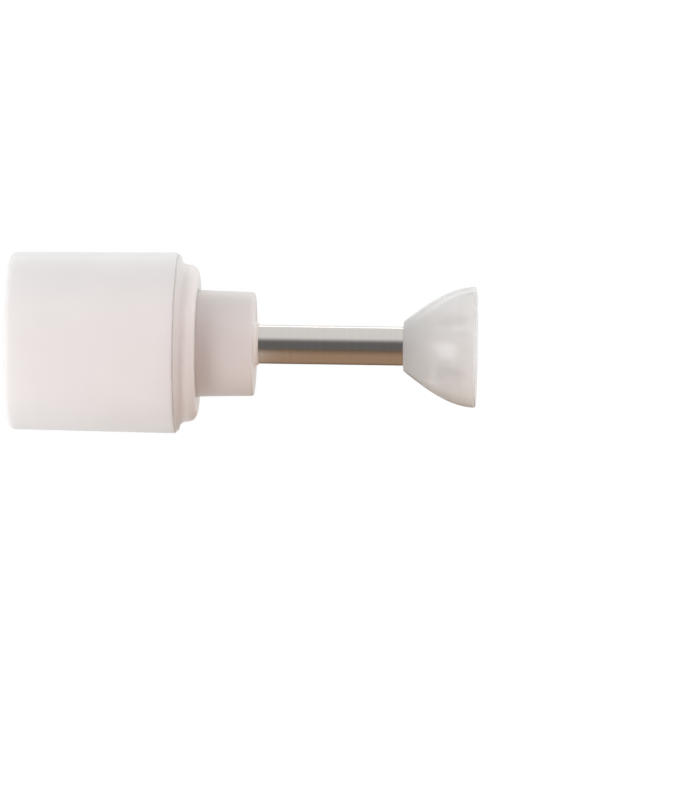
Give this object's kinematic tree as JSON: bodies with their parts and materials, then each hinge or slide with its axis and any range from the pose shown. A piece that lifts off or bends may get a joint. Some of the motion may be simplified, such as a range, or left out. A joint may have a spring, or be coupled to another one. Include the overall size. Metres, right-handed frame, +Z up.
{
  "type": "straight prophy attachment",
  "caption": "Straight dental polishing attachment: white sleeve, lock ring and collar, steel drive shaft on ball bearings, and a flared silicone cup.",
  "frame": {"origin": "centre of the rear register's mouth, on the sleeve's rear face", "axes": "+X along the shaft, from the rear face to the cup's rim; +Z up; the sleeve's two keyways lie in the XZ plane"},
  "size_m": [0.0282, 0.011, 0.011],
  "materials": {
    "sleeve_polymer": "satin moulded, slightly translucent white",
    "ring_polymer": "satin moulded white",
    "collar_polymer": "satin moulded white, faintly warm",
    "polished_steel": "polished stainless steel with fine turning marks",
    "bearing_steel": "ground",
    "ball_steel": "mirror polished",
    "turned_steel": "turned",
    "shield_steel": "pressed sheet",
    "spring_steel": "tempered",
    "cage_resin": "fibre-filled resin",
    "seal_rubber": "soft pale grey",
    "grip_rubber": "matt black",
    "cup_silicone": "translucent silicone"
  },
  "bodies": {
    "housing": {"housing_sleeve": "sleeve_polymer", "lock_ring": "ring_polymer", "nose_housing": "collar_polymer", "shaft_seal": "seal_rubber", "grip_ring": "grip_rubber", "bearing_nut": "turned_steel", "wave_spring": "spring_steel", "outer_spacer": "turned_steel", "front_bearing_outer_ring": "bearing_steel", "front_bearing_front_shield": "shield_steel", "front_bearing_rear_shield": "shield_steel", "rear_bearing_outer_ring": "bearing_steel", "rear_bearing_front_shield": "shield_steel", "rear_bearing_rear_shield": "shield_steel"},
    "shaft": {"drive_shaft": "polished_steel", "inner_spacer": "turned_steel", "shaft_clip": "spring_steel", "front_bearing_inner_ring": "bearing_steel", "rear_bearing_inner_ring": "bearing_steel"},
    "front_cage": {"front_bearing_cage": "cage_resin", "front_bearing_balls": "ball_steel"},
    "rear_cage": {"rear_bearing_cage": "cage_resin", "rear_bearing_balls": "ball_steel"},
    "cup": {"prophy_cup": "cup_silicone"}
  },
  "joints": [
    {"name": "shaft_spin", "type": "hinge", "parent": "housing", "child": "shaft", "pos_m": [0, 0, 0], "axis": [1, 0, 0], "continuous": true},
    {"name": "front_cage_spin", "type": "hinge", "parent": "housing", "child": "front_cage", "pos_m": [0, 0, 0], "axis": [1, 0, 0], "continuous": true},
    {"name": "rear_cage_spin", "type": "hinge", "parent": "housing", "child": "rear_cage", "pos_m": [0, 0, 0], "axis": [1, 0, 0], "continuous": true},
    {"name": "cup_pull_off", "type": "slide", "parent": "shaft", "child": "cup", "axis": [1, 0, 0], "range_m": [0, 0.004]}
  ],
  "couplings": [
    {"joint": "front_cage_spin", "follows": "shaft_spin", "ratio": 0.3888},
    {"joint": "rear_cage_spin", "follows": "shaft_spin", "ratio": 0.3888}
  ]
}
